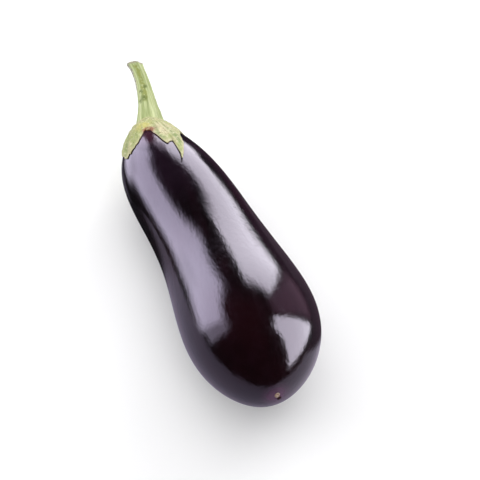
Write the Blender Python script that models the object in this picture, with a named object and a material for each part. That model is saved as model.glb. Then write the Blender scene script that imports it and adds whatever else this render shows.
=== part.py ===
"""A whole eggplant as picked, lying on its side: the fruit, its calyx and its stem.

Metres, +Z up. The fruit lies along Y with its blossom end at -Y and its stem end at +Y, and rests
on a small flat spot under its weight. The origin is at the bottom centre of the whole.
"""

import math

import bmesh
import bpy
from mathutils import Vector

MM = 0.001

# Fruit: its length, and what the Bezier rules below are driven by, from the blossom end to the crown
FRUIT_LENGTH = 227.0 * MM
BLOSSOM_END_Y = -136.9 * MM
WIDTH_CONTROLS = [w * MM for w in (56.0, 62.5, 51.0, 34.0, 27.5, 36.5, 52.0, 33.0)]
SIDEWAYS_CONTROLS = [x * MM for x in (-3.1, 6.4, -10.1, 17.9, -26.6, -13.1)]
HEIGHT_CONTROLS = [z * MM for z in (50.0, 46.0, 56.0, 18.5, 36.5, 44.0, 44.0)]
FRUIT_COLUMNS = 56
FRUIT_RINGS = 32

# Gap that touching pieces keep
GAP = 0.3 * MM

# Calyx: the outline of its five lobes as (angle round the crown in degrees, reach from the crown).
# The lobe over the top is split into a short tooth and a long curled tip.
CALYX_EDGE = [
    (-18.0, 44.0 * MM),  # tip of the lobe at the right
    (24.0, 29.0 * MM),
    (38.0, 31.0 * MM),
    (48.0, 38.0 * MM),
    (60.0, 48.0 * MM),
    (67.5, 59.0 * MM),
    (72.0, 66.0 * MM),  # long tip of the lobe over the top
    (74.5, 47.5 * MM),
    (81.0, 52.0 * MM),  # its tooth
    (88.0, 38.5 * MM),
    (94.0, 29.0 * MM),
    (102.0, 27.0 * MM),
    (112.0, 35.0 * MM),
    (122.0, 40.0 * MM),
    (142.0, 44.0 * MM),  # tip of the broad lobe at the left
    (156.0, 37.0 * MM),
    (180.0, 28.0 * MM),
    (214.0, 44.0 * MM),  # tip of the lobe at the lower left
    (248.0, 27.0 * MM),
    (282.0, 42.0 * MM),  # tip of the lobe underneath
    (312.0, 28.0 * MM),
]
CALYX_COLUMNS = 80
CALYX_RINGS = 26
# Rings of points crowd towards the rim by this power
RIM_SPACING = 1.4
LOBE_THICKNESS = 1.9 * MM
COLLAR_THICKNESS = 4.2 * MM
COLLAR_RADIUS = 20.0 * MM
RIM_ROUNDING = 10
EDGE_LIFT = 0.6 * MM
LIFT_POWER = 4
CROWN_RELIEF = 0.6 * MM
CROWN_RELIEF_RADIUS = 8.0 * MM
# A lobe curls sideways past this reach, by this many degrees over the next stretch
CURL_START = 47.0 * MM
CURL_STRETCH = 19.0 * MM
CURL_DEGREES = 8.0

# Stem: where its foot stands beside the crown, how far its cut end lies from there, its sideways bow
# and its thickness. Its end is cut on a slant.
STEM_FOOT_ACROSS = 1.5 * MM
STEM_RUN = Vector((3.0, 45.0, 15.7)) * MM
STEM_BOW = 7.0 * MM
STEM_END_RADIUS = 4.3 * MM
STEM_FLARE = 4.8 * MM
FLARE_POWER = 1.8
STEM_CUT_SLANT = 1.6 * MM
SLANT_POWER = 6
STEM_RIBS = 5
RIB_DEPTH = 0.06
STEM_COLUMNS = 30
STEM_RINGS = 24
FOOT_RINGS = 3
END_RINGS = 2
FOOT_BLEND = 0.16

# Steps that directions are measured over, and the crease above which an edge is shaded sharp
STATION_STEP = 1e-5
ANGLE_STEP = 1e-3
CENTRE_STEP = 0.01
SHARP_CREASE = math.radians(45)

SKIN_COLOUR = (0.018, 0.006, 0.013, 1.0)
CALYX_COLOUR = (0.42, 0.43, 0.17, 1.0)
STEM_COLOUR = (0.36, 0.42, 0.14, 1.0)


def bezier(controls, t):
    """The Bezier rule through the first and last control, drawn towards those between."""
    degree = len(controls) - 1
    return sum(
        math.comb(degree, i) * t**i * (1 - t) ** (degree - i) * control
        for i, control in enumerate(controls)
    )


def fruit_radius(station):
    """The radius at a station, 0 at the blossom end and 1 at the crown: an ellipsoid of varying width."""
    return 2 * math.sqrt(max(0.0, station * (1 - station))) * bezier(WIDTH_CONTROLS, station)


def skin_point(station, angle):
    """A point of the skin: the angle is 0 at +X and 90 degrees at the top."""
    radius = fruit_radius(station)
    return Vector(
        (
            bezier(SIDEWAYS_CONTROLS, station) + radius * math.cos(angle),
            BLOSSOM_END_Y + station * FRUIT_LENGTH,
            bezier(HEIGHT_CONTROLS, station) + radius * math.sin(angle),
        )
    )


def skin_normal(station, angle):
    """The outward direction at a point of the skin, which is +Y at the crown."""
    if station > 1 - STATION_STEP:
        return Vector((0.0, 1.0, 0.0))
    before = skin_point(station - STATION_STEP, angle)
    along = skin_point(station + STATION_STEP, angle) - before
    around = skin_point(station, angle + ANGLE_STEP) - skin_point(station, angle - ANGLE_STEP)
    return along.cross(around).normalized()


def crown_profile(steps=400, span=0.5):
    """The distance along the skin from the crown, for stations from 1 back to 1 - span."""
    profile = [(0.0, 1.0)]
    distance = 0.0
    for i in range(1, steps + 1):
        station = 1 - span * (i / steps) ** 2
        last = profile[-1][1]
        rise = fruit_radius(station) - fruit_radius(last)
        distance += math.hypot(rise, (last - station) * FRUIT_LENGTH)
        profile.append((distance, station))
    return profile


CROWN_PROFILE = crown_profile()


def station_at(reach):
    """The station that lies this far from the crown along the skin."""
    for (near, high), (far, low) in zip(CROWN_PROFILE, CROWN_PROFILE[1:]):
        if reach <= far:
            return high + (low - high) * (reach - near) / (far - near)
    return CROWN_PROFILE[-1][1]


def over_crown(reach, angle, height):
    """The point at this reach and angle from the crown, raised from the skin."""
    station = station_at(reach)
    return skin_point(station, angle) + skin_normal(station, angle) * height


def calyx_reach(degrees):
    """How far the calyx's edge lies from the crown at an angle."""
    first = (CALYX_EDGE[0][0] + 360.0, CALYX_EDGE[0][1])
    degrees = (degrees - CALYX_EDGE[0][0]) % 360.0 + CALYX_EDGE[0][0]
    for (start, low), (end, high) in zip(CALYX_EDGE, CALYX_EDGE[1:] + [first]):
        if degrees <= end:
            return low + (high - low) * (degrees - start) / (end - start)
    return first[1]


def calyx_heights(reach, share):
    """The heights of the calyx's two faces above the skin; share is 0 at the crown and 1 at the edge."""
    relief = CROWN_RELIEF * math.exp(-((reach / CROWN_RELIEF_RADIUS) ** 2))
    inner = GAP + relief + EDGE_LIFT * share**LIFT_POWER
    collar = (COLLAR_THICKNESS - LOBE_THICKNESS) * math.exp(-((reach / COLLAR_RADIUS) ** 2))
    thickness = (LOBE_THICKNESS + collar) * math.sqrt(1 - share**RIM_ROUNDING)
    return inner, inner + thickness


def fruit_place(share, angle):
    return skin_point((1 - math.cos(math.pi * share)) / 2, angle)


def calyx_place(share, angle):
    """From the middle of the inner face out to the edge at one half, and back over the outer face."""
    from_edge = abs(2 * share - 1)
    out = 1 - from_edge**RIM_SPACING
    reach = out * calyx_reach(math.degrees(angle))
    curl = max(0.0, (reach - CURL_START) / CURL_STRETCH) ** 2 * math.radians(CURL_DEGREES)
    inner, outer = calyx_heights(reach, min(out, 1.0))
    return over_crown(reach, angle + curl, inner if share < 0.5 else outer)


def stem_centre(t):
    """The stem's centre line from the crown, 0, to the cut end, 1."""
    across = Vector((STEM_FOOT_ACROSS + STEM_BOW * t * (1 - t), 0.0, 0.0))
    return skin_point(1.0, 0.0) + STEM_RUN * t + across


def stem_radius(t, angle):
    ribs = 1 + RIB_DEPTH * math.cos(STEM_RIBS * angle)
    return (STEM_END_RADIUS + STEM_FLARE * max(0.0, 1 - t) ** FLARE_POWER) * ribs


def stem_ring_point(t, angle, share=1.0):
    """A point of the ribbed section that stands square to the centre line."""
    along = (stem_centre(t + CENTRE_STEP) - stem_centre(t - CENTRE_STEP)).normalized()
    side = Vector((1.0, 0.0, 0.0)) - along * along.x
    side.normalize()
    up = side.cross(along)
    radius = stem_radius(t, angle) * share
    slant = along * (-STEM_CUT_SLANT * t**SLANT_POWER * share * math.cos(angle))
    return stem_centre(t) + side * radius * math.cos(angle) + up * radius * math.sin(angle) + slant


def stem_place(share, angle):
    """From the middle of the foot out over the calyx, up the side, and in across the cut end."""
    ring = share * STEM_RINGS
    last_side_ring = STEM_RINGS - END_RINGS
    if ring > last_side_ring + 0.5:
        return stem_ring_point(1.0, angle, (STEM_RINGS - ring) / END_RINGS)
    t = max(0.0, (ring - FOOT_RINGS) / (last_side_ring - FOOT_RINGS))
    radius = stem_radius(0.0, angle) * min(1.0, ring / FOOT_RINGS)
    across = STEM_FOOT_ACROSS + radius * math.cos(angle)
    reach = math.hypot(across, radius * math.sin(angle))
    foot_angle = math.atan2(radius * math.sin(angle), across)
    foot = over_crown(reach, foot_angle, calyx_heights(reach, 0.0)[1] + GAP)
    if ring <= FOOT_RINGS + 0.5:
        return foot
    start = FOOT_BLEND * (1 - t)
    blend = min(1.0, t / FOOT_BLEND)
    blend = blend * blend * (3 - 2 * blend)
    return foot.lerp(stem_ring_point(t + start, angle), blend)


def paint(name, colour, roughness):
    material = bpy.data.materials.new(name)
    material.use_nodes = True
    shader = material.node_tree.nodes["Principled BSDF"]
    shader.inputs["Base Color"].default_value = colour
    shader.inputs["Roughness"].default_value = roughness
    shader.inputs["Metallic"].default_value = 0.0
    return material


def grown_body(name, columns, rings, place, material, collection):
    """A sphere whose points go where place(share from pole to pole, angle round) says."""
    shape = bmesh.new()
    bmesh.ops.create_uvsphere(shape, u_segments=columns, v_segments=rings, radius=1.0)
    for vertex in shape.verts:
        share = math.acos(max(-1.0, min(1.0, -vertex.co.z))) / math.pi
        vertex.co = place(share, math.atan2(vertex.co.y, vertex.co.x))
    if shape.calc_volume(signed=True) < 0:
        bmesh.ops.reverse_faces(shape, faces=shape.faces)
    mesh = bpy.data.meshes.new(name)
    shape.to_mesh(mesh)
    shape.free()
    mesh.shade_smooth()
    mesh.materials.append(material)
    body = bpy.data.objects.new(name, mesh)
    collection.objects.link(body)
    return body


def cut_flat_spot(body):
    """Takes off what lies below the surface that the fruit rests on, and closes the cut with one face."""
    shape = bmesh.new()
    shape.from_mesh(body.data)
    everything = list(shape.verts) + list(shape.edges) + list(shape.faces)
    cut = bmesh.ops.bisect_plane(
        shape,
        geom=everything,
        dist=1e-6,
        plane_co=(0.0, 0.0, 0.0),
        plane_no=(0.0, 0.0, -1.0),
        clear_outer=True,
    )
    edges = [item for item in cut["geom_cut"] if isinstance(item, bmesh.types.BMEdge)]
    bmesh.ops.edgenet_fill(shape, edges=edges)
    bmesh.ops.recalc_face_normals(shape, faces=shape.faces)
    shape.to_mesh(body.data)
    shape.free()
    body.data.set_sharp_from_angle(angle=SHARP_CREASE)


for leftover in list(bpy.data.objects):
    bpy.data.objects.remove(leftover, do_unlink=True)

eggplant = bpy.data.collections.new("eggplant")
bpy.context.scene.collection.children.link(eggplant)

# Fruit: one grown body with glossy dark skin, cut flat where it rests
fruit = grown_body(
    "fruit",
    FRUIT_COLUMNS,
    FRUIT_RINGS,
    fruit_place,
    paint("aubergine_skin", SKIN_COLOUR, 0.2),
    eggplant,
)
cut_flat_spot(fruit)

# Calyx: the green cap whose five lobes hug the shoulder, thickest round the stem
calyx = grown_body(
    "calyx",
    CALYX_COLUMNS,
    CALYX_RINGS,
    calyx_place,
    paint("calyx_green", CALYX_COLOUR, 0.6),
    eggplant,
)

# Stem: the ribbed woody stalk that stands on the calyx and ends in a cut
stem = grown_body(
    "stem",
    STEM_COLUMNS,
    STEM_RINGS,
    stem_place,
    paint("stem_green", STEM_COLOUR, 0.6),
    eggplant,
)
stem.data.set_sharp_from_angle(angle=SHARP_CREASE)
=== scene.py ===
"""A whole eggplant as picked, lying on its side under soft studio light: fruit, calyx and stem."""

import bisect
import math

import bpy
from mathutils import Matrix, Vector, noise


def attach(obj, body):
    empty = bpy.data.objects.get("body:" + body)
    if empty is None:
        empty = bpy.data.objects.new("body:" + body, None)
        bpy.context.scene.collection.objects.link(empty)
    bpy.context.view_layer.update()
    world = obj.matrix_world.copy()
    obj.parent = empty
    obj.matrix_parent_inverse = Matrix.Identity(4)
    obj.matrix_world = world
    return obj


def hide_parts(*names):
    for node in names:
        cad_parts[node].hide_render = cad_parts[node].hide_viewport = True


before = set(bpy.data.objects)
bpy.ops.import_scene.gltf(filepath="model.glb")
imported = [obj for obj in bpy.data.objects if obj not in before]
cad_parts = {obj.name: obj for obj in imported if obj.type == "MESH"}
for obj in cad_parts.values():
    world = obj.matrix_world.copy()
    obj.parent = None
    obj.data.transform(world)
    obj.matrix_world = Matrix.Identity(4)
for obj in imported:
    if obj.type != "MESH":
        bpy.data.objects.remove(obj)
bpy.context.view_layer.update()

# Fruit. The swollen body, grown in one piece: spongy flesh under a taut waxed skin, near-black
# purple with a redder cast where it is thin. It widens from the neck to the belly, and its weight
# presses a small flat spot into its side.

FRUIT_LENGTH = 0.227
BLOSSOM_END_Y = -0.1369
# Bezier controls from the blossom end to the crown: radius before the ends are rounded off, lean
# to the side, and height of the middle
GIRTH = [w / 1000 for w in (56.0, 62.5, 51.0, 34.0, 27.5, 36.5, 52.0, 33.0)]
LEAN = [x / 1000 for x in (-3.1, 6.4, -10.1, 17.9, -26.6, -13.1)]
LIE = [z / 1000 for z in (50.0, 46.0, 56.0, 18.5, 36.5, 44.0, 44.0)]
SKIN_COLUMNS = 128
SKIN_RINGS = 72
SWELL_SIZE = 0.045
SWELL_HEIGHT = 0.0004
FLAT_SPOT_EDGE = math.radians(6)


def bezier(controls, t):
    """The Bezier rule through the first and last control."""
    degree = len(controls) - 1
    return sum(
        math.comb(degree, i) * t**i * (1 - t) ** (degree - i) * control
        for i, control in enumerate(controls)
    )


def core(station):
    """The middle of the fruit, from the blossom end, 0, to the crown, 1."""
    return Vector(
        (bezier(LEAN, station), BLOSSOM_END_Y + station * FRUIT_LENGTH, bezier(LIE, station))
    )


def girth(station):
    """The fruit's radius at a station, closing round at both ends."""
    return 2 * math.sqrt(max(0.0, station * (1 - station))) * bezier(GIRTH, station)


bpy.ops.object.select_all(action="DESELECT")
stations = [(1 - math.cos(math.pi * ring / SKIN_RINGS)) / 2 for ring in range(1, SKIN_RINGS)]
bpy.ops.mesh.primitive_circle_add(
    vertices=SKIN_COLUMNS,
    radius=girth(stations[0]),
    location=core(stations[0]),
    rotation=(math.pi / 2, 0, 0),
)
fruit_skin = bpy.context.object
fruit_skin.name = "fruit_skin"
bpy.ops.object.mode_set(mode="EDIT")
for near, far in zip(stations, stations[1:]):
    step = core(far) - core(near)
    bpy.ops.mesh.extrude_region_move(TRANSFORM_OT_translate={"value": step})
    widening = girth(far) / girth(near)
    bpy.ops.transform.resize(value=[widening] * 3, center_override=core(far))
bpy.ops.mesh.extrude_region_move(TRANSFORM_OT_translate={"value": core(1) - core(stations[-1])})
bpy.ops.mesh.merge(type="CENTER")
bpy.ops.mesh.select_all(action="DESELECT")
bpy.ops.mesh.select_non_manifold()
bpy.ops.mesh.extrude_region_move(TRANSFORM_OT_translate={"value": core(0) - core(stations[0])})
bpy.ops.mesh.merge(type="CENTER")
bpy.ops.mesh.select_all(action="SELECT")
bpy.ops.mesh.normals_make_consistent(inside=False)
bpy.ops.object.mode_set(mode="OBJECT")
bpy.ops.object.transform_apply(location=True, rotation=True, scale=True)

rounding = fruit_skin.modifiers.new("rounding", "SUBSURF")
rounding.levels = rounding.render_levels = 1
bpy.ops.object.modifier_apply(modifier="rounding")
swells = bpy.data.textures.new("slow swells of the flesh", "CLOUDS")
swells.noise_scale = SWELL_SIZE
swells.noise_depth = 1
swelling = fruit_skin.modifiers.new("swelling", "DISPLACE")
swelling.texture = swells
swelling.texture_coords = "LOCAL"
swelling.strength = SWELL_HEIGHT
bpy.ops.object.modifier_apply(modifier="swelling")
bpy.ops.object.mode_set(mode="EDIT")
bpy.ops.mesh.select_all(action="SELECT")
bpy.ops.mesh.bisect(plane_co=(0, 0, 0), plane_no=(0, 0, 1), use_fill=True, clear_inner=True)
bpy.ops.object.mode_set(mode="OBJECT")
bpy.ops.object.shade_smooth_by_angle(angle=FLAT_SPOT_EDGE)


class Tone:
    """A value in a material. Sums and products of tones add Math nodes, and node adds any other."""

    def __init__(self, socket):
        self.socket = socket

    def node(self, kind, settings, sockets, output=0):
        """A node of this type, with its settings and the values or links of its sockets."""
        made = self.socket.id_data.nodes.new(kind)
        for name, value in settings.items():
            setattr(made, name, value)
        for name, value in sockets.items():
            if isinstance(value, Tone):
                self.socket.id_data.links.new(value.socket, made.inputs[name])
            else:
                made.inputs[name].default_value = value
        return Tone(made.outputs[output])

    def math(self, operation, *values):
        return self.node("ShaderNodeMath", {"operation": operation}, dict(enumerate(values)))

    def __add__(self, other):
        return self.math("ADD", self, other)

    def __sub__(self, other):
        return self.math("SUBTRACT", self, other)

    def __rsub__(self, other):
        return self.math("SUBTRACT", other, self)

    def __mul__(self, other):
        return self.math("MULTIPLY", self, other)

    __radd__ = __add__
    __rmul__ = __mul__

    def between(self, low, high):
        """0 below low and 1 above high, or the other way round, eased between."""
        settings = {"interpolation_type": "SMOOTHSTEP", "clamp": True}
        if low < high:
            return self.node("ShaderNodeMapRange", settings, {0: self, 1: low, 2: high})
        return self.node(
            "ShaderNodeMapRange", settings, {0: self, 1: high, 2: low, 3: 1.0, 4: 0.0}
        )

    def colours(self, first, second):
        """The first colour where this tone is 0 and the second where it is 1."""
        return self.node("ShaderNodeMix", {"data_type": "RGBA"}, {0: self, 6: first, 7: second}, 2)

    def close_to(self, place, near, far):
        """1 within near of a place, falling to 0 at far."""
        settings = {"operation": "DISTANCE"}
        distance = self.node("ShaderNodeVectorMath", settings, {0: self, 1: place}, 1)
        return distance.between(far, near)

    def part(self, axis):
        """One coordinate of a place: 0 for X, 1 for Y and 2 for Z."""
        return self.node("ShaderNodeSeparateXYZ", {}, {0: self}, axis)

    def grain(self, scale, detail=2.0, stretch=(1, 1, 1), turn=(0, 0, 0), roughness=0.5):
        """Soft noise with this many features a metre, or a width of the UV map.

        A stretch below 1 draws it out along that axis, and one above 1 makes it finer.
        """
        sockets = {"Vector": self, "Scale": stretch, "Rotation": turn}
        placed = self.node("ShaderNodeMapping", {}, sockets)
        sockets = {"Vector": placed, "Scale": scale, "Detail": detail, "Roughness": roughness}
        return self.node("ShaderNodeTexNoise", {}, sockets)

    def relief(self, height, distance, under=None):
        """The normal of a surface with this height, on top of another normal."""
        sockets = {"Height": height, "Distance": distance, "Strength": 1.0}
        if under:
            sockets["Normal"] = under
        return self.node("ShaderNodeBump", {}, sockets)

    def paint(self, shader, **sockets):
        """Links tones to the shader's sockets by name, and sets plain values on them."""
        for name, value in sockets.items():
            target = shader.inputs[name.replace("_", " ").title()]
            if isinstance(value, Tone):
                self.socket.id_data.links.new(value.socket, target)
            else:
                target.default_value = value


def finish_for(piece, name, place="Object"):
    """A new material on the piece: its shader, and the coordinates that its patterns follow."""
    material = bpy.data.materials.new(name)
    material.use_nodes = True
    piece.data.materials.clear()
    piece.data.materials.append(material)
    shader = material.node_tree.nodes["Principled BSDF"]
    coordinates = material.node_tree.nodes.new("ShaderNodeTexCoord")
    return shader, Tone(coordinates.outputs[place])


# Where the skin's colour changes: round the scar, under the calyx's arch, and along the neck
SCAR_AT = (-0.0032, -0.1362, 0.0562)
PALER_AT = (-0.0195, 0.0665, 0.0672)
NECK_AT = (-0.012, 0.045, 0.080)

shader, spot = finish_for(fruit_skin, "waxed aubergine skin")
blush = spot.grain(22, detail=3, stretch=(1, 0.6, 1)).between(0.42, 0.68)
skin = blush.colours((0.0026, 0.0009, 0.0016, 1), (0.0085, 0.0014, 0.0026, 1))
streaks = spot.grain(160, detail=4, stretch=(1, 0.12, 1)).between(0.45, 0.7)
skin = (streaks * 0.3).colours(skin, (0.0130, 0.0034, 0.0070, 1))
skin = (spot.close_to(NECK_AT, 0.015, 0.050) * 0.8).colours(skin, (0.0100, 0.0042, 0.0095, 1))
skin = (spot.close_to(SCAR_AT, 0.002, 0.012) * 0.8).colours(skin, (0.085, 0.024, 0.065, 1))
skin = (spot.close_to(PALER_AT, 0.002, 0.013) * 0.8).colours(skin, (0.055, 0.016, 0.030, 1))
pores = spot.grain(620, detail=2)
ripples = spot.grain(110, detail=3, stretch=(1, 0.5, 1))
normal = spot.relief(ripples, 0.00007)
brushing = spot.grain(420, detail=3, stretch=(1, 0.35, 1), turn=(0, 0, 0.4))
normal = spot.relief(brushing, 0.00013, under=normal)
normal = spot.relief(pores, 0.00005, under=normal)
spot.paint(
    shader,
    base_color=skin,
    roughness=0.11 + 0.07 * spot.grain(300, detail=3).between(0.3, 0.75),
    normal=normal,
)
shader.inputs["Specular Tint"].default_value = (0.93, 0.88, 1.0, 1)
shader.inputs["Coat Weight"].default_value = 0.25
shader.inputs["Coat Roughness"].default_value = 0.1
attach(fruit_skin, "root")
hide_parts("fruit")

# Blossom scar. The corky button left where the flower dropped off, a few millimetres across, which
# stands beside the fruit's very end.

SCAR_STATION = 0.0042
SCAR_ANGLE = math.radians(90)
SCAR_WIDTH = 0.0046
SCAR_HEIGHT = 0.0006
SCAR_DEPTH = 0.0002
SCAR_HOLLOW = 0.00025
SCAR_KNOB = 0.0002


def skin_point(station, angle):
    """A point of the skin: the angle is 0 at +X and 90 degrees at the top."""
    radius = girth(station)
    return core(station) + Vector((radius * math.cos(angle), 0, radius * math.sin(angle)))


def skin_normal(station, angle):
    """The way that the skin faces there: at the crown, straight along the fruit."""
    if station > 1 - 1e-5:
        return Vector((0, 1, 0))
    along = skin_point(station + 1e-5, angle) - skin_point(station - 1e-5, angle)
    around = skin_point(station, angle + 1e-3) - skin_point(station, angle - 1e-3)
    return along.cross(around).normalized()


scar_centre = skin_point(SCAR_STATION, SCAR_ANGLE)
scar_facing = skin_normal(SCAR_STATION, SCAR_ANGLE)
bpy.ops.object.select_all(action="DESELECT")
bpy.ops.mesh.primitive_circle_add(
    vertices=28,
    radius=SCAR_WIDTH / 2,
    fill_type="NGON",
    location=scar_centre - scar_facing * SCAR_DEPTH,
    rotation=scar_facing.to_track_quat("Z", "Y").to_euler(),
)
blossom_scar = bpy.context.object
blossom_scar.name = "blossom_scar"
bpy.ops.object.transform_apply(location=True, rotation=True, scale=True)
bpy.ops.object.mode_set(mode="EDIT")
bpy.ops.mesh.select_all(action="SELECT")
bpy.ops.mesh.extrude_region_move(
    TRANSFORM_OT_translate={"value": scar_facing * (SCAR_HEIGHT + SCAR_DEPTH)}
)
bpy.ops.transform.resize(value=(0.8, 0.8, 0.8), center_override=scar_centre)
bpy.ops.mesh.select_all(action="SELECT")
bpy.ops.transform.resize(value=(0.85, 1, 1.2), center_override=scar_centre)
bpy.ops.mesh.select_all(action="DESELECT")
bpy.ops.mesh.select_mode(type="FACE")
bpy.ops.mesh.inset(thickness=SCAR_WIDTH * 0.14)
bpy.ops.transform.translate(value=scar_facing * -SCAR_HOLLOW)
bpy.ops.mesh.inset(thickness=SCAR_WIDTH * 0.12)
bpy.ops.transform.translate(value=scar_facing * SCAR_KNOB)
bpy.ops.mesh.select_all(action="SELECT")
bpy.ops.mesh.normals_make_consistent(inside=False)
bpy.ops.object.mode_set(mode="OBJECT")
rounding = blossom_scar.modifiers.new("rounding", "SUBSURF")
rounding.levels = rounding.render_levels = 2
bpy.ops.object.modifier_apply(modifier="rounding")
bpy.ops.object.shade_smooth()

shader, spot = finish_for(blossom_scar, "dry cork of the scar")
flecks = spot.grain(1400, detail=3).between(0.35, 0.65)
cork = flecks.colours((0.24, 0.13, 0.09, 1), (0.62, 0.50, 0.40, 1))
spot.paint(shader, base_color=cork, roughness=0.75, normal=spot.relief(flecks, 0.0001))
shader.inputs["Specular IOR Level"].default_value = 0.1
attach(blossom_scar, "root")

# Dark rim of the scar. A flat, red-black, matt bead at the foot of the button that stands for the small
# pit there: its dark colour is painted shade. It is part of the skin and stands hardly proud of it.

PIT_AT = (-0.0019, -0.1366, 0.0536)
PIT_RADIUS = 0.0016
PIT_FLATNESS = 0.3

bpy.ops.object.select_all(action="DESELECT")
bpy.ops.mesh.primitive_uv_sphere_add(
    segments=32,
    ring_count=16,
    radius=PIT_RADIUS,
    location=PIT_AT,
    rotation=scar_facing.to_track_quat("Z", "Y").to_euler(),
    scale=(1, 1, PIT_FLATNESS),
)
scar_pit = bpy.context.object
scar_pit.name = "scar_pit"
bpy.ops.object.transform_apply(location=True, rotation=True, scale=True)
bpy.ops.object.shade_smooth()
shader, spot = finish_for(scar_pit, "painted shade of the scar's pit")
# Painted shade: the red-black of the small pit beside the button
flecks = spot.grain(1100, detail=2).between(0.4, 0.7)
painted_pit_shade = flecks.colours((0.012, 0.0015, 0.002, 1), (0.05, 0.006, 0.012, 1))
spot.paint(shader, base_color=painted_pit_shade, roughness=0.8)
shader.inputs["Specular IOR Level"].default_value = 0.1
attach(scar_pit, "root")

# Calyx. The leathery green cap that held the flower: five pointed lobes that hug the shoulder, a
# thick lumpy collar round the stem, and thin edges that dry, curl and lift off the skin.

# Outline of the lobes: angle round the crown in degrees, and reach from the crown in millimetres
CALYX_EDGE = [
    (-18, 44.0),  # tip of the lobe at the right
    (-4, 37.0),
    (12, 31.0),
    (24, 29.0),
    (38, 31.5),
    (48, 38.0),
    (60, 48.0),
    (64.5, 55.0),
    (71, 65.5),
    (72, 66.5),  # long tip of the lobe over the top
    (73, 59.0),
    (73.5, 47.5),
    (76.5, 48.0),
    (80, 50.0),
    (83.5, 50.0),  # its tooth
    (86, 45.5),
    (88, 38.5),
    (92, 30.5),
    (102, 27.0),
    (112, 35.0),
    (120, 39.5),
    (130, 42.0),
    (142, 44.0),  # tip of the broad lobe at the left
    (148, 42.0),
    (156, 37.0),
    (180, 28.0),
    (200, 37.0),
    (214, 44.0),  # tip of the lobe at the lower left
    (228, 36.0),
    (248, 27.0),
    (266, 34.0),
    (282, 42.0),  # tip of the lobe underneath
    (296, 35.0),
    (312, 28.0),
    (328, 36.0),
]
CALYX_COLUMNS = 480
CALYX_RINGS = 64
# How far noise waves and nicks the edge, in millimetres
EDGE_WAVES = 1.5
EDGE_NICKS = 1.1
# Middle of each lobe, and of the tooth, in degrees: a groove runs down it, part of the leaf's depth
LOBE_MIDDLES = (-18, 66, 84, 140, 214, 282)
MIDLINE_WIDTH = 0.0011
MIDLINE_DEPTH = 0.3
MIDLINE_START = 0.014
MIDLINE_EASE = 0.012
SHOULDER_STATION = 0.8
# Gaps from the skin to the leaf: all over, more at the crown, at the edge, and under the long tip
SKIN_GAP = 0.0001
CROWN_GAP = 0.0006
CROWN_GAP_SPREAD = 0.008
EDGE_LIFT = 0.0002
EDGE_LIFT_CHANGE = 0.0009
TIP_LIFT = 0.0016
TIP_START = 0.05
TIP_STRETCH = 0.016
# Thickness: thin at the edge, thick and lumpy in the collar
LOBE_THICKNESS = 0.0015
EDGE_THINNING = 0.0006
COLLAR_THICKNESS = 0.0027
COLLAR_SPREAD = 0.020
COLLAR_MIDDLE = 0.013
COLLAR_WIDTH = 0.006
COLLAR_LUMPS = 0.0014
LEAF_LUMPS = 0.0006
# A long lobe curls sideways past this reach, over the next stretch
CURL_START = 0.047
CURL_STRETCH = 0.019
CURL_TURN = math.radians(8)
ARC_STEPS = 400


def arc_from_crown():
    """The distance along the skin from the crown at stations down to the middle of the fruit."""
    distances, places = [0.0], [1.0]
    for i in range(1, ARC_STEPS + 1):
        station = 1 - 0.5 * (i / ARC_STEPS) ** 2
        rise = girth(station) - girth(places[-1])
        run = (places[-1] - station) * FRUIT_LENGTH
        distances.append(distances[-1] + math.hypot(rise, run))
        places.append(station)
    return distances, places


ARC, ARC_STATIONS = arc_from_crown()


def over_crown(reach, angle, height):
    """The point this far from the crown along the skin, raised from it."""
    i = min(max(1, bisect.bisect_left(ARC, reach)), len(ARC) - 1)
    share = (reach - ARC[i - 1]) / (ARC[i] - ARC[i - 1])
    station = ARC_STATIONS[i - 1] + (ARC_STATIONS[i] - ARC_STATIONS[i - 1]) * share
    return skin_point(station, angle) + skin_normal(station, angle) * height


def lobe_reach(degrees):
    """How far the calyx spreads from the crown at an angle, with a ragged edge."""
    turned = (degrees - CALYX_EDGE[0][0]) % 360 + CALYX_EDGE[0][0]
    edge = CALYX_EDGE + [(CALYX_EDGE[0][0] + 360, CALYX_EDGE[0][1])]
    for (start, low), (end, high) in zip(edge, edge[1:]):
        if turned <= end:
            reach = low + (high - low) * (turned - start) / (end - start)
            break
    around = Vector((math.cos(math.radians(degrees)), math.sin(math.radians(degrees)), 0))
    ragged = EDGE_WAVES * noise.noise(around * 9) + EDGE_NICKS * noise.noise(around * 21)
    return (reach + ragged) / 1000


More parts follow.
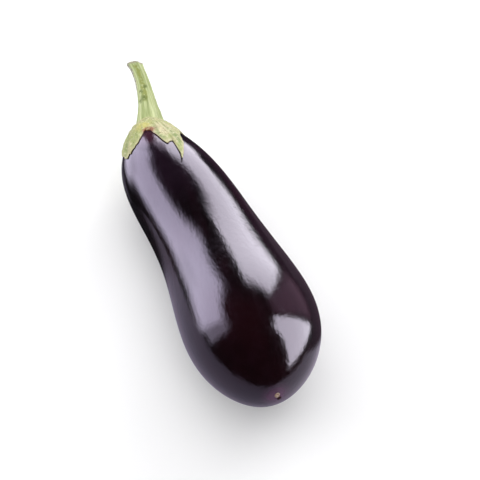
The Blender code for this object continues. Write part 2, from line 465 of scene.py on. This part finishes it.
def calyx_place(share, angle):
    """From the middle of the underside out to the edge at one half, and back over the top."""
    degrees = math.degrees(angle)
    out = 1 - abs(2 * share - 1) ** 1.4
    edge = lobe_reach(degrees)
    reach = out * edge
    curl = max(0.0, (reach - CURL_START) / CURL_STRETCH) ** 2 * CURL_TURN
    rough = Vector((reach * math.cos(angle), reach * math.sin(angle), 0.0))
    under = SKIN_GAP + CROWN_GAP * math.exp(-((reach / CROWN_GAP_SPREAD) ** 2))
    uneven = noise.noise(rough * 90 + Vector((3, 1, 7)))
    lift = max(SKIN_GAP, EDGE_LIFT + EDGE_LIFT_CHANGE * uneven)
    under += lift * out**6 + TIP_LIFT * max(0.0, (reach - TIP_START) / TIP_STRETCH) ** 2
    thickness = LOBE_THICKNESS - EDGE_THINNING * out**4
    thickness += COLLAR_THICKNESS * math.exp(-((reach / COLLAR_SPREAD) ** 2))
    thickness *= math.sqrt(max(0.0, 1 - out**12))
    if share < 0.5:
        return over_crown(reach, angle + curl, under)
    groove = 0.0
    for middle in LOBE_MIDDLES:
        aside = (degrees - middle + 180) % 360 - 180
        across = math.radians(aside) * min(girth(SHOULDER_STATION), reach)
        groove = max(groove, math.exp(-((across / MIDLINE_WIDTH) ** 2)))
    groove *= min(1.0, max(0.0, (reach - MIDLINE_START) / MIDLINE_EASE))
    collar = math.exp(-(((reach - COLLAR_MIDDLE) / COLLAR_WIDTH) ** 2))
    lumps = COLLAR_LUMPS * collar * noise.noise(rough * 190)
    lumps += LEAF_LUMPS * noise.noise(rough * 330 + Vector((0, 0, 4)))
    top = under + thickness * (1 - MIDLINE_DEPTH * groove) + lumps * min(1.0, (1 - out) * 9)
    return over_crown(reach, angle + curl, max(top, under))


def grown_from_sphere(name, columns, rings, place):
    """A closed piece drawn out of a sphere.

    place gives each point from its share of the way up the sphere and its angle round it.
    """
    bpy.ops.object.select_all(action="DESELECT")
    bpy.ops.mesh.primitive_uv_sphere_add(segments=columns, ring_count=rings, radius=1)
    piece = bpy.context.object
    piece.name = name
    for vertex in piece.data.vertices:
        share = math.acos(max(-1.0, min(1.0, -vertex.co.z))) / math.pi
        vertex.co = place(share, math.atan2(vertex.co.y, vertex.co.x))
    bpy.ops.object.mode_set(mode="EDIT")
    bpy.ops.mesh.select_all(action="SELECT")
    bpy.ops.mesh.normals_make_consistent(inside=False)
    bpy.ops.object.mode_set(mode="OBJECT")
    return piece


calyx_cap = grown_from_sphere("calyx_cap", CALYX_COLUMNS, CALYX_RINGS, calyx_place)
bpy.ops.object.shade_smooth()

# Where the leaf's colour changes: two rust spots at its arch, a sallow patch and a warty one
RUST_AT = over_crown(0.0308, math.radians(91), 0.0004)
RUST_TOO_AT = over_crown(0.0284, math.radians(99), 0.0004)
SALLOW_AT = over_crown(0.0225, math.radians(101), 0.0024)
WARTY_AT = over_crown(0.0330, math.radians(76), 0.002)

shader, spot = finish_for(calyx_cap, "leathery green calyx")
along = Tone(spot.socket.node.outputs["UV"])
down = along.part(1)
patches = spot.grain(130, detail=4, roughness=0.6).between(0.40, 0.62)
leaf = patches.colours((0.31, 0.36, 0.10, 1), (0.45, 0.42, 0.19, 1))
leaf = (spot.close_to(WARTY_AT, 0.005, 0.013) * 0.9).colours(leaf, (0.56, 0.52, 0.28, 1))
leaf = (spot.close_to(SALLOW_AT, 0.002, 0.010) * 0.9).colours(leaf, (0.49, 0.46, 0.10, 1))
veins = along.grain(1, detail=3, stretch=(110, 4, 1)).between(0.50, 0.66)
leaf = (veins * 0.6).colours(leaf, (0.14, 0.19, 0.04, 1))
around = along.part(0)
around = around + spot.grain(160, detail=3) * 0.03 - 0.015
# Darker green down the middle of each lobe: partly the leaf's own dark midline, partly painted shade in
# the groove that runs down it
for middle in LOBE_MIDDLES:
    aside = around - (middle + 180) % 360 / 360
    dark_midline_and_groove_shade = aside.math("ABSOLUTE", aside).between(0.012, 0.004)
    dark_midline_and_groove_shade = dark_midline_and_groove_shade * down.between(0.55, 0.60) * down.between(0.88, 0.80)
    leaf = (dark_midline_and_groove_shade * 0.5).colours(leaf, (0.13, 0.20, 0.03, 1))
mottle = spot.grain(520, detail=4).between(0.52, 0.66)
leaf = (mottle * 0.6).colours(leaf, (0.62, 0.60, 0.34, 1))
specks = spot.grain(760, detail=2).between(0.60, 0.72)
leaf = (specks * 0.75).colours(leaf, (0.16, 0.14, 0.05, 1))
leaf = (down.between(0.60, 0.52) * 0.55).colours(leaf, (0.56, 0.53, 0.29, 1))
rim = down.between(0.525, 0.505) * spot.grain(300, detail=2).between(0.35, 0.60)
leaf = (rim * 0.8).colours(leaf, (0.30, 0.20, 0.09, 1))
rusty = spot.close_to(RUST_AT, 0.0014, 0.0048)
rusty = rusty.math("MAXIMUM", rusty, spot.close_to(RUST_TOO_AT, 0.0012, 0.0042))
rusty = rusty * spot.grain(330, detail=3).between(0.28, 0.42)
leaf = rusty.colours(leaf, (0.23, 0.065, 0.008, 1))
warts = spot.grain(430, detail=4, roughness=0.7).between(0.54, 0.60)
warts = spot.close_to(WARTY_AT, 0.007, 0.012) * warts
leaf = (warts * 0.6).colours(leaf, (0.22, 0.17, 0.055, 1))
normal = spot.relief(spot.grain(260, detail=4), 0.0008)
normal = spot.relief(spot.grain(800, detail=3), 0.0003, under=normal)
normal = spot.relief(along.grain(1, detail=3, stretch=(140, 6, 1)), 0.0005, under=normal)
spot.paint(shader, base_color=leaf, roughness=0.62, normal=normal)
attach(calyx_cap, "root")
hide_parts("calyx")

# Stem. The woody stalk that the fruit hung by, fluted along its length, swelling where it joins the
# calyx, and ending in the dry slanting cut of the shears.

STEM_RUN = Vector((0.0030, 0.0450, 0.0157))
STEM_FOOT_ACROSS = 0.0015
STEM_BOW = 0.0070
TIP_BOW = 0.008
STEM_RADIUS = 0.0047
FOOT_FLARE = 0.0058
TIP_FLARE = 0.0002
# Shares of the radius: five ribs, eight finer ones, uneven growth, and a groove at one angle in degrees
RIB_HEIGHT = 0.065
FINE_RIB_HEIGHT = 0.03
UNEVENNESS = 0.06
FINE_UNEVENNESS = 0.035
GROOVE_DEPTH = 0.10
GROOVE_ANGLE = 102
GROOVE_WIDTH = 16
# The cut slants more on its low side than on its high one, and the dry pith stands proud of it
CUT_SLANT_LOW = 0.0034
CUT_SLANT_HIGH = 0.0020
PITH_HEIGHT = 0.0011
CUT_ROUGHNESS = 0.0003
# The foot starts this share of the stem's length under the skin of the crown, and closes in over
# this share of the way up the sphere
FOOT_SUNK = 0.02
FOOT_CLOSING = 0.02
STEM_COLUMNS = 160
STEM_RINGS = 90
END_RINGS = 6


def stem_centre(t):
    """The middle of the stem, from its foot, 0, to its cut end, 1."""
    bow = Vector((STEM_FOOT_ACROSS + (STEM_BOW + TIP_BOW * t * t) * t * (1 - t), 0, 0))
    return skin_point(1, 0) + STEM_RUN * t + bow


def stem_place(share, angle):
    """From the hidden foot up the side, and in across the cut end."""
    ring = share * STEM_RINGS
    side = min(1.0, ring / (STEM_RINGS - END_RINGS))
    inward = max(0.0, (ring - (STEM_RINGS - END_RINGS)) / END_RINGS)
    t = -FOOT_SUNK + (1 + FOOT_SUNK) * side
    ribs = RIB_HEIGHT * math.cos(5 * angle) + FINE_RIB_HEIGHT * math.cos(8 * angle + 1.5 + 2.0 * t)
    wander = Vector((math.cos(angle) * 1.6, math.sin(angle) * 1.6, t * 4))
    ribs += UNEVENNESS * noise.noise(wander) + FINE_UNEVENNESS * noise.noise(wander * 3.1)
    groove = math.exp(-(((math.degrees(angle) - GROOVE_ANGLE) / GROOVE_WIDTH) ** 2))
    ribs -= GROOVE_DEPTH * groove * min(1.0, 3 * max(0.0, t - 0.4))
    radius = (STEM_RADIUS + FOOT_FLARE * max(0.0, 1 - t) ** 2.6) * (1 + ribs)
    radius += TIP_FLARE * math.exp(-(((t - 1) / 0.05) ** 2))
    if share < FOOT_CLOSING:
        radius *= share / FOOT_CLOSING
    radius *= 1 - inward
    along = (stem_centre(t + 0.01) - stem_centre(t - 0.01)).normalized()
    across = (Vector((1, 0, 0)) - along * along.x).normalized()
    up = across.cross(along)
    level = CUT_SLANT_LOW if math.cos(angle) > 0 else CUT_SLANT_HIGH
    slant = -(0.0002 + level * (1 - inward) * math.cos(angle)) * max(0.0, t) ** 6
    pith = PITH_HEIGHT * min(1.0, inward * 2.0)
    rough = CUT_ROUGHNESS * noise.noise(wander * 5) if inward > 0 else 0.0
    return (
        stem_centre(t)
        + across * radius * math.cos(angle)
        + up * radius * math.sin(angle)
        + along * (slant + pith + rough)
    )


stalk = grown_from_sphere("stalk", STEM_COLUMNS, STEM_RINGS, stem_place)
bpy.ops.object.shade_smooth_by_angle(angle=math.radians(40))

# Bruises: share of the way up the sphere, angle in degrees, and radius
BRUISES = (
    (0.54, 84, 0.0026),
    (0.48, 122, 0.0024),
    (0.385, 108, 0.0036),
    (0.345, 134, 0.0026),
)

shader, spot = finish_for(stalk, "fluted green stalk")
along = Tone(spot.socket.node.outputs["UV"])
up_stem = along.part(1)
fibres = along.grain(1, detail=4, stretch=(26, 2.2, 1)).between(0.38, 0.62)
bark = fibres.colours((0.33, 0.40, 0.13, 1), (0.56, 0.62, 0.29, 1))
fine = along.grain(1, detail=3, stretch=(110, 5, 1)).between(0.52, 0.70)
bark = (fine * 0.45).colours(bark, (0.20, 0.26, 0.07, 1))
around = along.part(0)
around = around + along.grain(1, detail=3, stretch=(4, 16, 1)) * 0.10 - 0.05
blotchy = spot.grain(480, detail=3).between(0.30, 0.52)
groove = around.between(0.722, 0.750) * around.between(0.834, 0.804)
groove = groove * up_stem.between(0.30, 0.38) * up_stem.between(0.90, 0.86)
bark = (groove * (0.35 + blotchy * 0.6)).colours(bark, (0.27, 0.31, 0.045, 1))
dry = around.math("MAXIMUM", around.between(0.890, 0.925), around.between(0.085, 0.055))
dry = dry * up_stem.between(0.50, 0.60)
bark = (dry * 0.8).colours(bark, (0.46, 0.44, 0.37, 1))
flecks = dry * spot.grain(900, detail=2).between(0.54, 0.60)
bark = (flecks * 0.8).colours(bark, (0.14, 0.13, 0.10, 1))
for share, degrees, reach in BRUISES:
    bruise = spot.close_to(stem_place(share, math.radians(degrees)), 0.0003, reach)
    bark = (bruise * blotchy).colours(bark, (0.13, 0.18, 0.02, 1))
cut = up_stem.between(0.900, 0.925)
bark = (cut * 0.9).colours(bark, (0.36, 0.33, 0.23, 1))
normal = spot.relief(along.grain(1, detail=4, stretch=(60, 3, 1)), 0.0007)
normal = spot.relief(spot.grain(700, detail=3), 0.0002, under=normal)
spot.paint(shader, base_color=bark, roughness=0.6, normal=normal)
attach(stalk, "root")
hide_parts("stem")

# Studio. A matt white floor that stays white into the distance, a far white backdrop, soft lights
# above, beside and in front of the fruit, and glowing cards round it that only its gloss sees.
# Between the cards it mirrors almost nothing, so that its flanks stay dark.

# The floor is lit by the lamps up to the first reach, and glows white by itself from the second
LIT_POOL = 0.55
POOL_END = 1.0
BACKDROP_RADIUS = 3.9

bpy.ops.object.select_all(action="DESELECT")
bpy.ops.mesh.primitive_plane_add(size=8, location=(0, 0, 0))
floor = bpy.context.object
floor.name = "floor"
shader, spot = finish_for(floor, "matt white floor")
spot.paint(shader, base_color=(0.88, 0.88, 0.885, 1), roughness=0.8)
lit_pool = spot.close_to(Vector((0, 0, 0)), LIT_POOL, POOL_END)
glow = lit_pool.colours((0.95, 0.95, 0.95, 1), (0.12, 0.12, 0.12, 1))
spot.paint(shader, emission_color=glow, emission_strength=1.0)
floor.visible_glossy = False

bpy.ops.object.select_all(action="DESELECT")
bpy.ops.mesh.primitive_uv_sphere_add(segments=64, ring_count=32, radius=BACKDROP_RADIUS)
backdrop = bpy.context.object
backdrop.name = "backdrop"
shader, spot = finish_for(backdrop, "white backdrop")
spot.paint(shader, base_color=(0, 0, 0, 1), emission_color=(1, 1, 1, 1), emission_strength=1.0)
backdrop.visible_glossy = False
backdrop.visible_diffuse = False
backdrop.visible_transmission = False
backdrop.visible_shadow = False


def only_in_gloss(card):
    """The gloss mirrors it, the camera doesn't see it, and it lights and shades nothing."""
    card.visible_camera = False
    card.visible_diffuse = False
    card.visible_transmission = False
    card.visible_shadow = False


# What the gloss mirrors of the floor: violet on the near side of a slanting edge, dark beyond it
bpy.ops.object.select_all(action="DESELECT")
bpy.ops.mesh.primitive_plane_add(size=1, location=(-0.225, -0.315, 0.0002))
mirrored_floor = bpy.context.object
mirrored_floor.name = "floor in the gloss"
mirrored_floor.scale = (0.85, 0.75, 1)
bpy.ops.object.transform_apply(location=True, rotation=True, scale=True)
shader, spot = finish_for(mirrored_floor, "floor as the gloss shows it")
aside = spot.part(0)
away = spot.part(1)
shown = (away + aside * 0.8).between(-0.034, -0.056)
violet = aside.between(0.0, 0.05).colours((0.46, 0.40, 0.55, 1), (0.70, 0.63, 0.79, 1))
purple = aside.between(0.03, 0.08).colours((0, 0, 0, 1), (0.06, 0.025, 0.05, 1))
spot.paint(shader, base_color=shown.colours(purple, violet), roughness=1.0)
only_in_gloss(mirrored_floor)

CARD_CENTRE = Vector((0, -0.02, 0.05))
CROWN_CENTRE = Vector((-0.01, 0.05, 0.07))


def glowing_card(name, corners, brightness, colour, fades, centre=CARD_CENTRE, distance=0.8):
    """A card at this distance from a centre, for the gloss alone.

    Its corners are (bearing from -Y towards +X, rise) in degrees, and it fades towards its
    low-bearing, high-bearing, low and high edge over these shares of it.
    """
    bpy.ops.object.select_all(action="DESELECT")
    bpy.ops.mesh.primitive_grid_add(x_subdivisions=16, y_subdivisions=16, size=1)
    card = bpy.context.object
    card.name = name
    low_left, low_right, high_right, high_left = (Vector(corner) for corner in corners)
    for vertex in card.data.vertices:
        across, up = vertex.co.x + 0.5, vertex.co.y + 0.5
        bearing, rise = low_left.lerp(low_right, across).lerp(high_left.lerp(high_right, across), up)
        bearing, rise = math.radians(bearing), math.radians(rise)
        flat = distance * math.cos(rise)
        vertex.co = centre + Vector(
            (flat * math.sin(bearing), -flat * math.cos(bearing), distance * math.sin(rise))
        )
    shader, spot = finish_for(card, name, "UV")
    across = spot.part(0)
    up = spot.part(1)
    glow = across.between(0, fades[0]) * across.between(1, 1 - fades[1])
    glow = glow * up.between(0, fades[2]) * up.between(1, 1 - fades[3])
    spot.paint(
        shader,
        base_color=(0, 0, 0, 1),
        emission_color=colour,
        emission_strength=brightness,
        alpha=glow,
    )
    only_in_gloss(card)


glowing_card(
    "left card",
    [(-160, -20), (-100, -14), (-100, 48), (-166, 44)],
    6.3,
    (0.95, 0.88, 1.1, 1),
    (0.25, 0.18, 0.32, 0.25),
)
glowing_card(
    "left shoulder card",
    [(-150, -38), (-108, -32), (-108, 14), (-150, 14)],
    4.5,
    (0.95, 0.88, 1.1, 1),
    (0.3, 0.3, 0.4, 0.35),
    CROWN_CENTRE,
    0.22,
)
glowing_card(
    "left crown card",
    [(-174, -2), (-140, -2), (-140, 34), (-166, 34)],
    5.5,
    (0.95, 0.88, 1.1, 1),
    (0.3, 0.4, 0.25, 0.3),
    CROWN_CENTRE,
    0.2,
)
glowing_card(
    "left rim card",
    [(-180, -54), (-130, -50), (-130, -34), (-180, -34)],
    0.16,
    (0.95, 0.85, 1.15, 1),
    (0.2, 0.2, 0.25, 0.25),
    CARD_CENTRE,
    0.9,
)
glowing_card(
    "left fill card",
    [(-112, -4), (-86, -2), (-86, 52), (-112, 52)],
    2.0,
    (0.95, 0.88, 1.1, 1),
    (0.3, 0.3, 0.2, 0.3),
)
glowing_card(
    "right card",
    [(126, -8), (174, -8), (173, 53), (117, 55)],
    8.2,
    (1.0, 0.96, 1.05, 1),
    (0.12, 0.16, 0.22, 0.28),
)
glowing_card(
    "shade beside the neck",
    [(113, -21), (134, -21), (132, 8), (113, 6)],
    0,
    (0, 0, 0, 1),
    (0.25, 0.25, 0.25, 0.25),
    CROWN_CENTRE,
    0.2,
)
glowing_card(
    "crown card",
    [(164, 9), (181, 7), (181, 32), (164, 36)],
    7.0,
    (1.0, 0.93, 1.03, 1),
    (0.2, 0.35, 0.3, 0.25),
    CROWN_CENTRE,
    0.13,
)
glowing_card(
    "crown haze card",
    [(163, 22), (194, 22), (190, 52), (160, 52)],
    2.2,
    (1.0, 0.86, 1.04, 1),
    (0.3, 0.3, 0.25, 0.55),
    CROWN_CENTRE,
    0.15,
)
glowing_card(
    "side fill card",
    [(80, -26), (132, -14), (124, 66), (80, 66)],
    0.7,
    (1.0, 0.58, 0.82, 1),
    (0.3, 0.3, 0.2, 0.25),
)
glowing_card(
    "right rim card",
    [(88, -52), (156, -56), (156, -6), (88, -6)],
    0.07,
    (1.0, 0.42, 0.83, 1),
    (0.1, 0.2, 0.2, 0.15),
    CARD_CENTRE,
    0.9,
)
glowing_card(
    "window card",
    [(27, 2), (86, -18), (82, 62), (50, 62)],
    8.2,
    (1.0, 0.96, 1.06, 1),
    (0.10, 0.12, 0.08, 0.10),
)


def soft_light(name, place, width, tall, brightness):
    """A rectangular light that faces the fruit and lights it without showing in its gloss."""
    lamp = bpy.data.lights.new(name, "AREA")
    lamp.shape = "RECTANGLE"
    lamp.size = width
    lamp.size_y = tall
    lamp.energy = brightness * math.pi * width * tall
    box = bpy.data.objects.new(name, lamp)
    box.location = place
    box.rotation_euler = (Vector(place) - CARD_CENTRE).to_track_quat("Z", "Y").to_euler()
    box.visible_camera = False
    box.visible_glossy = False
    bpy.context.scene.collection.objects.link(box)


soft_light("overhead light", (0.1, 0.15, 1.3), 1.8, 1.8, 1.9)
soft_light("left light", (-0.75, 0.35, 0.55), 0.7, 0.7, 2.0)
soft_light("right light", (0.75, 0.45, 0.55), 0.7, 0.7, 2.2)
soft_light("front light", (0.1, -0.9, 0.6), 0.8, 0.6, 1.6)

ROOM_LIGHT = 0.02
world = bpy.data.worlds.new("dim studio")
world.use_nodes = True
world.node_tree.nodes["Background"].inputs["Color"].default_value = (1, 1, 1, 1)
world.node_tree.nodes["Background"].inputs["Strength"].default_value = ROOM_LIGHT
bpy.context.scene.world = world
bpy.context.scene.view_settings.view_transform = "Standard"

CAMERA_AIM = Vector((0.01685, -0.01636, 0.03847))
CAMERA_BACK = 0.76114
CAMERA_LENS = 85
CAMERA_TILT = math.radians(30)
CAMERA_TURN = math.radians(-20.098)
camera = bpy.data.objects.new("camera", bpy.data.cameras.new("camera"))
camera.data.lens = CAMERA_LENS
camera.rotation_euler = (CAMERA_TILT, 0, CAMERA_TURN)
camera.location = CAMERA_AIM + camera.rotation_euler.to_matrix() @ Vector((0, 0, CAMERA_BACK))
bpy.context.scene.collection.objects.link(camera)
bpy.context.scene.camera = camera
